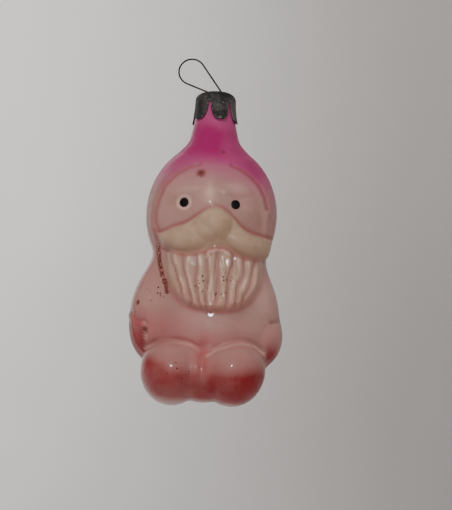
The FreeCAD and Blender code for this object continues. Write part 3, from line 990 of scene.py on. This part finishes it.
def tin_material():
    n = Nodes("cap_tinplate")
    cloud = n.noise(420.0, 6.0, 0.65)
    worn = n.between(n.noise(1500.0, 4.0, 0.7), 0.56, 0.68)
    colour = n.mix(n.between(cloud, 0.4, 0.7), *TIN)
    colour = n.mix(n.math("MULTIPLY", worn, 0.6), colour, TIN_WORN)
    # painted sheen: the cap's front right petal made lighter where it catches the light
    colour = n.mix(n.math("MULTIPLY", n.near(*TIN_SHEEN_PLACE), 0.7), colour, TIN_PAINTED_SHEEN)
    n.drive("Base Color", colour)
    n.drive("Roughness", n.between(cloud, 0.3, 0.7, 0.45, 0.7))
    n.set(Metallic=0.6)
    n.drive("Normal", n.bump(cloud, 0.0002, 0.6))
    return n.material


def wire_material():
    n = Nodes("hanger_steel")
    n.drive("Base Color", n.mix(n.between(n.noise(900.0, 4.0), 0.4, 0.7), *STEEL))
    n.set(Metallic=0.8, Roughness=0.45)
    return n.material


def paper_material():
    """Matt paper with painted light: painted shade greys it towards the right, and a glow brightens it
    towards the top.
    """
    n = Nodes("studio_floor")
    place = n.tree.nodes.new("ShaderNodeSeparateXYZ")
    n.link(n.place, place.inputs[0])
    shade = n.mix(n.between(place.outputs["X"], *PAPER_X), *PAPER)
    shade = n.mix(n.math("MULTIPLY", n.noise(9.0, 3.0), 0.25), shade, PAPER_CLOUD)
    n.drive("Base Color", shade)
    n.drive("Emission Color", shade)
    n.drive("Emission Strength", n.between(place.outputs["Z"], *PAPER_Z, *PAPER_GLOW))
    n.set(Roughness=0.9)
    return n.material


def dress(obj, material, body, slot, *nodes):
    obj.data.materials.clear()
    obj.data.materials.append(material)
    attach(obj, body)
    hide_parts(*nodes)


# ---------------------------------------------------------------- stage

def make_stage():
    """A pale floor that sweeps up into a wall behind the ornament."""
    low = figure_point(0.0, 0.0, FLOOR_Z)
    bend_y = WALL_Y - WALL_BEND
    profile = [(-STAGE_HALF, 0.0), (bend_y, 0.0)]
    profile += [(bend_y + WALL_BEND * math.sin(a), WALL_BEND - WALL_BEND * math.cos(a))
                for a in np.linspace(0.1, math.pi / 2.0, 12)]
    profile += [(WALL_Y, WALL_TOP)]
    points = [(low.x + side, low.y + y, low.z + z) for side in (-STAGE_HALF, STAGE_HALF) for y, z in profile]
    count = len(profile)
    faces = [(i, count + i, count + i + 1, i + 1) for i in range(count - 1)]
    mesh = bpy.data.meshes.new("Floor")
    mesh.from_pydata(points, [], faces)
    mesh.polygons.foreach_set("use_smooth", [True] * len(mesh.polygons))
    floor = bpy.data.objects.new("Floor", mesh)
    bpy.context.scene.collection.objects.link(floor)
    floor.data.materials.append(paper_material())


def add_lamp(name, lamp):
    offset, size, power, colour = lamp
    light = bpy.data.lights.new(name, "AREA")
    light.size = size
    light.energy = power
    light.color = colour
    obj = bpy.data.objects.new(name, light)
    obj.location = figure_point(0.0, 0.0, MIDDLE_Z) + Vector(offset)
    aim = figure_point(0.0, 0.0, AIM_Z) - obj.location
    obj.rotation_euler = aim.to_track_quat("-Z", "Y").to_euler()
    bpy.context.scene.collection.objects.link(obj)
    return obj


def make_lamps():
    """Two broad lamps that light the figure, a small one only for its reflection, and an even sky."""
    for name, lamp in (("Key", KEY), ("Fill", FILL)):
        add_lamp(name, lamp).visible_glossy = False
    add_lamp("Spark", SPARK).visible_diffuse = False
    world = bpy.data.worlds.new("Studio")
    world.use_nodes = True
    sky = world.node_tree.nodes["Background"]
    sky.inputs["Color"].default_value = SKY
    sky.inputs["Strength"].default_value = SKY_STRENGTH
    bpy.context.scene.world = world


def make_camera():
    """A little below the figure and looking slightly up, as the ornament is held."""
    rise = math.radians(CAMERA_RISE)
    aim = Vector((0.0, math.cos(rise), math.sin(rise)))
    roll = Quaternion((0.0, 0.0, 1.0), math.radians(CAMERA_ROLL))
    camera = bpy.data.cameras.new("Camera")
    camera.sensor_width = 36.0
    camera.lens = CAMERA_LENS
    camera.clip_start = 0.01
    obj = bpy.data.objects.new("Camera", camera)
    obj.location = figure_point(*CAMERA_TARGET) - aim * CAMERA_DISTANCE
    obj.rotation_mode = "QUATERNION"
    obj.rotation_quaternion = aim.to_track_quat("-Z", "Y") @ roll
    bpy.context.scene.collection.objects.link(obj)
    bpy.context.scene.camera = obj


# ---------------------------------------------------------------- assembly

def main():
    enamel = enamel_material()
    dress(make_glass(), glass_material(), "glass", "lacquered_glass", "glass_body")
    for side, centre in zip(("left", "right"), EYES):
        dress(make_eye(f"Eye_{side}", centre), enamel, "glass", "eye_enamel", f"eye_dot_{side}")
    dress(make_cap(), tin_material(), "cap", "cap_tinplate", "cap")
    wire = frame["nodes"]["hanger_wire"]
    wire.data.materials.clear()
    wire.data.materials.append(wire_material())
    make_stage()
    make_lamps()
    make_camera()


main()
